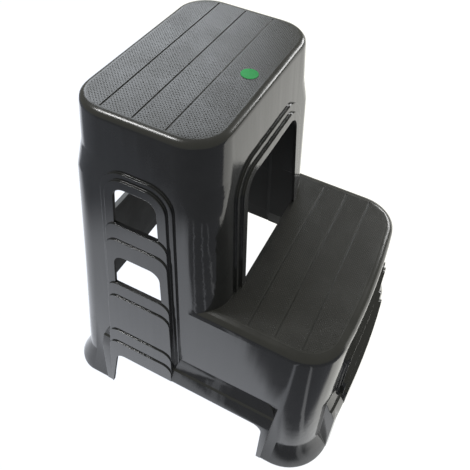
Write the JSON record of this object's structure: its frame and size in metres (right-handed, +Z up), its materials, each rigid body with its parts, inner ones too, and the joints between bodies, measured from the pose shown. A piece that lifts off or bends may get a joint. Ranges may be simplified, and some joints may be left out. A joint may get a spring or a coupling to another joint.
{
  "type": "caravan entry step",
  "caption": "Double caravan entry step moulded in one piece: a low tread in front of a high one on a hollow, flared body with arched feet, windows and stepped side panels.",
  "frame": {"origin": "on the floor, at the middle of the feet's outline", "axes": "+X to the right for someone climbing, +Y the way they climb, from the low tread to the high one, +Z up"},
  "size_m": [0.3356, 0.3852, 0.45],
  "materials": {
    "plastic": "glossy moulded anthracite plastic, finely grained on the treads"
  },
  "bodies": {
    "root": {"step_body": "plastic"}
  },
  "joints": []
}
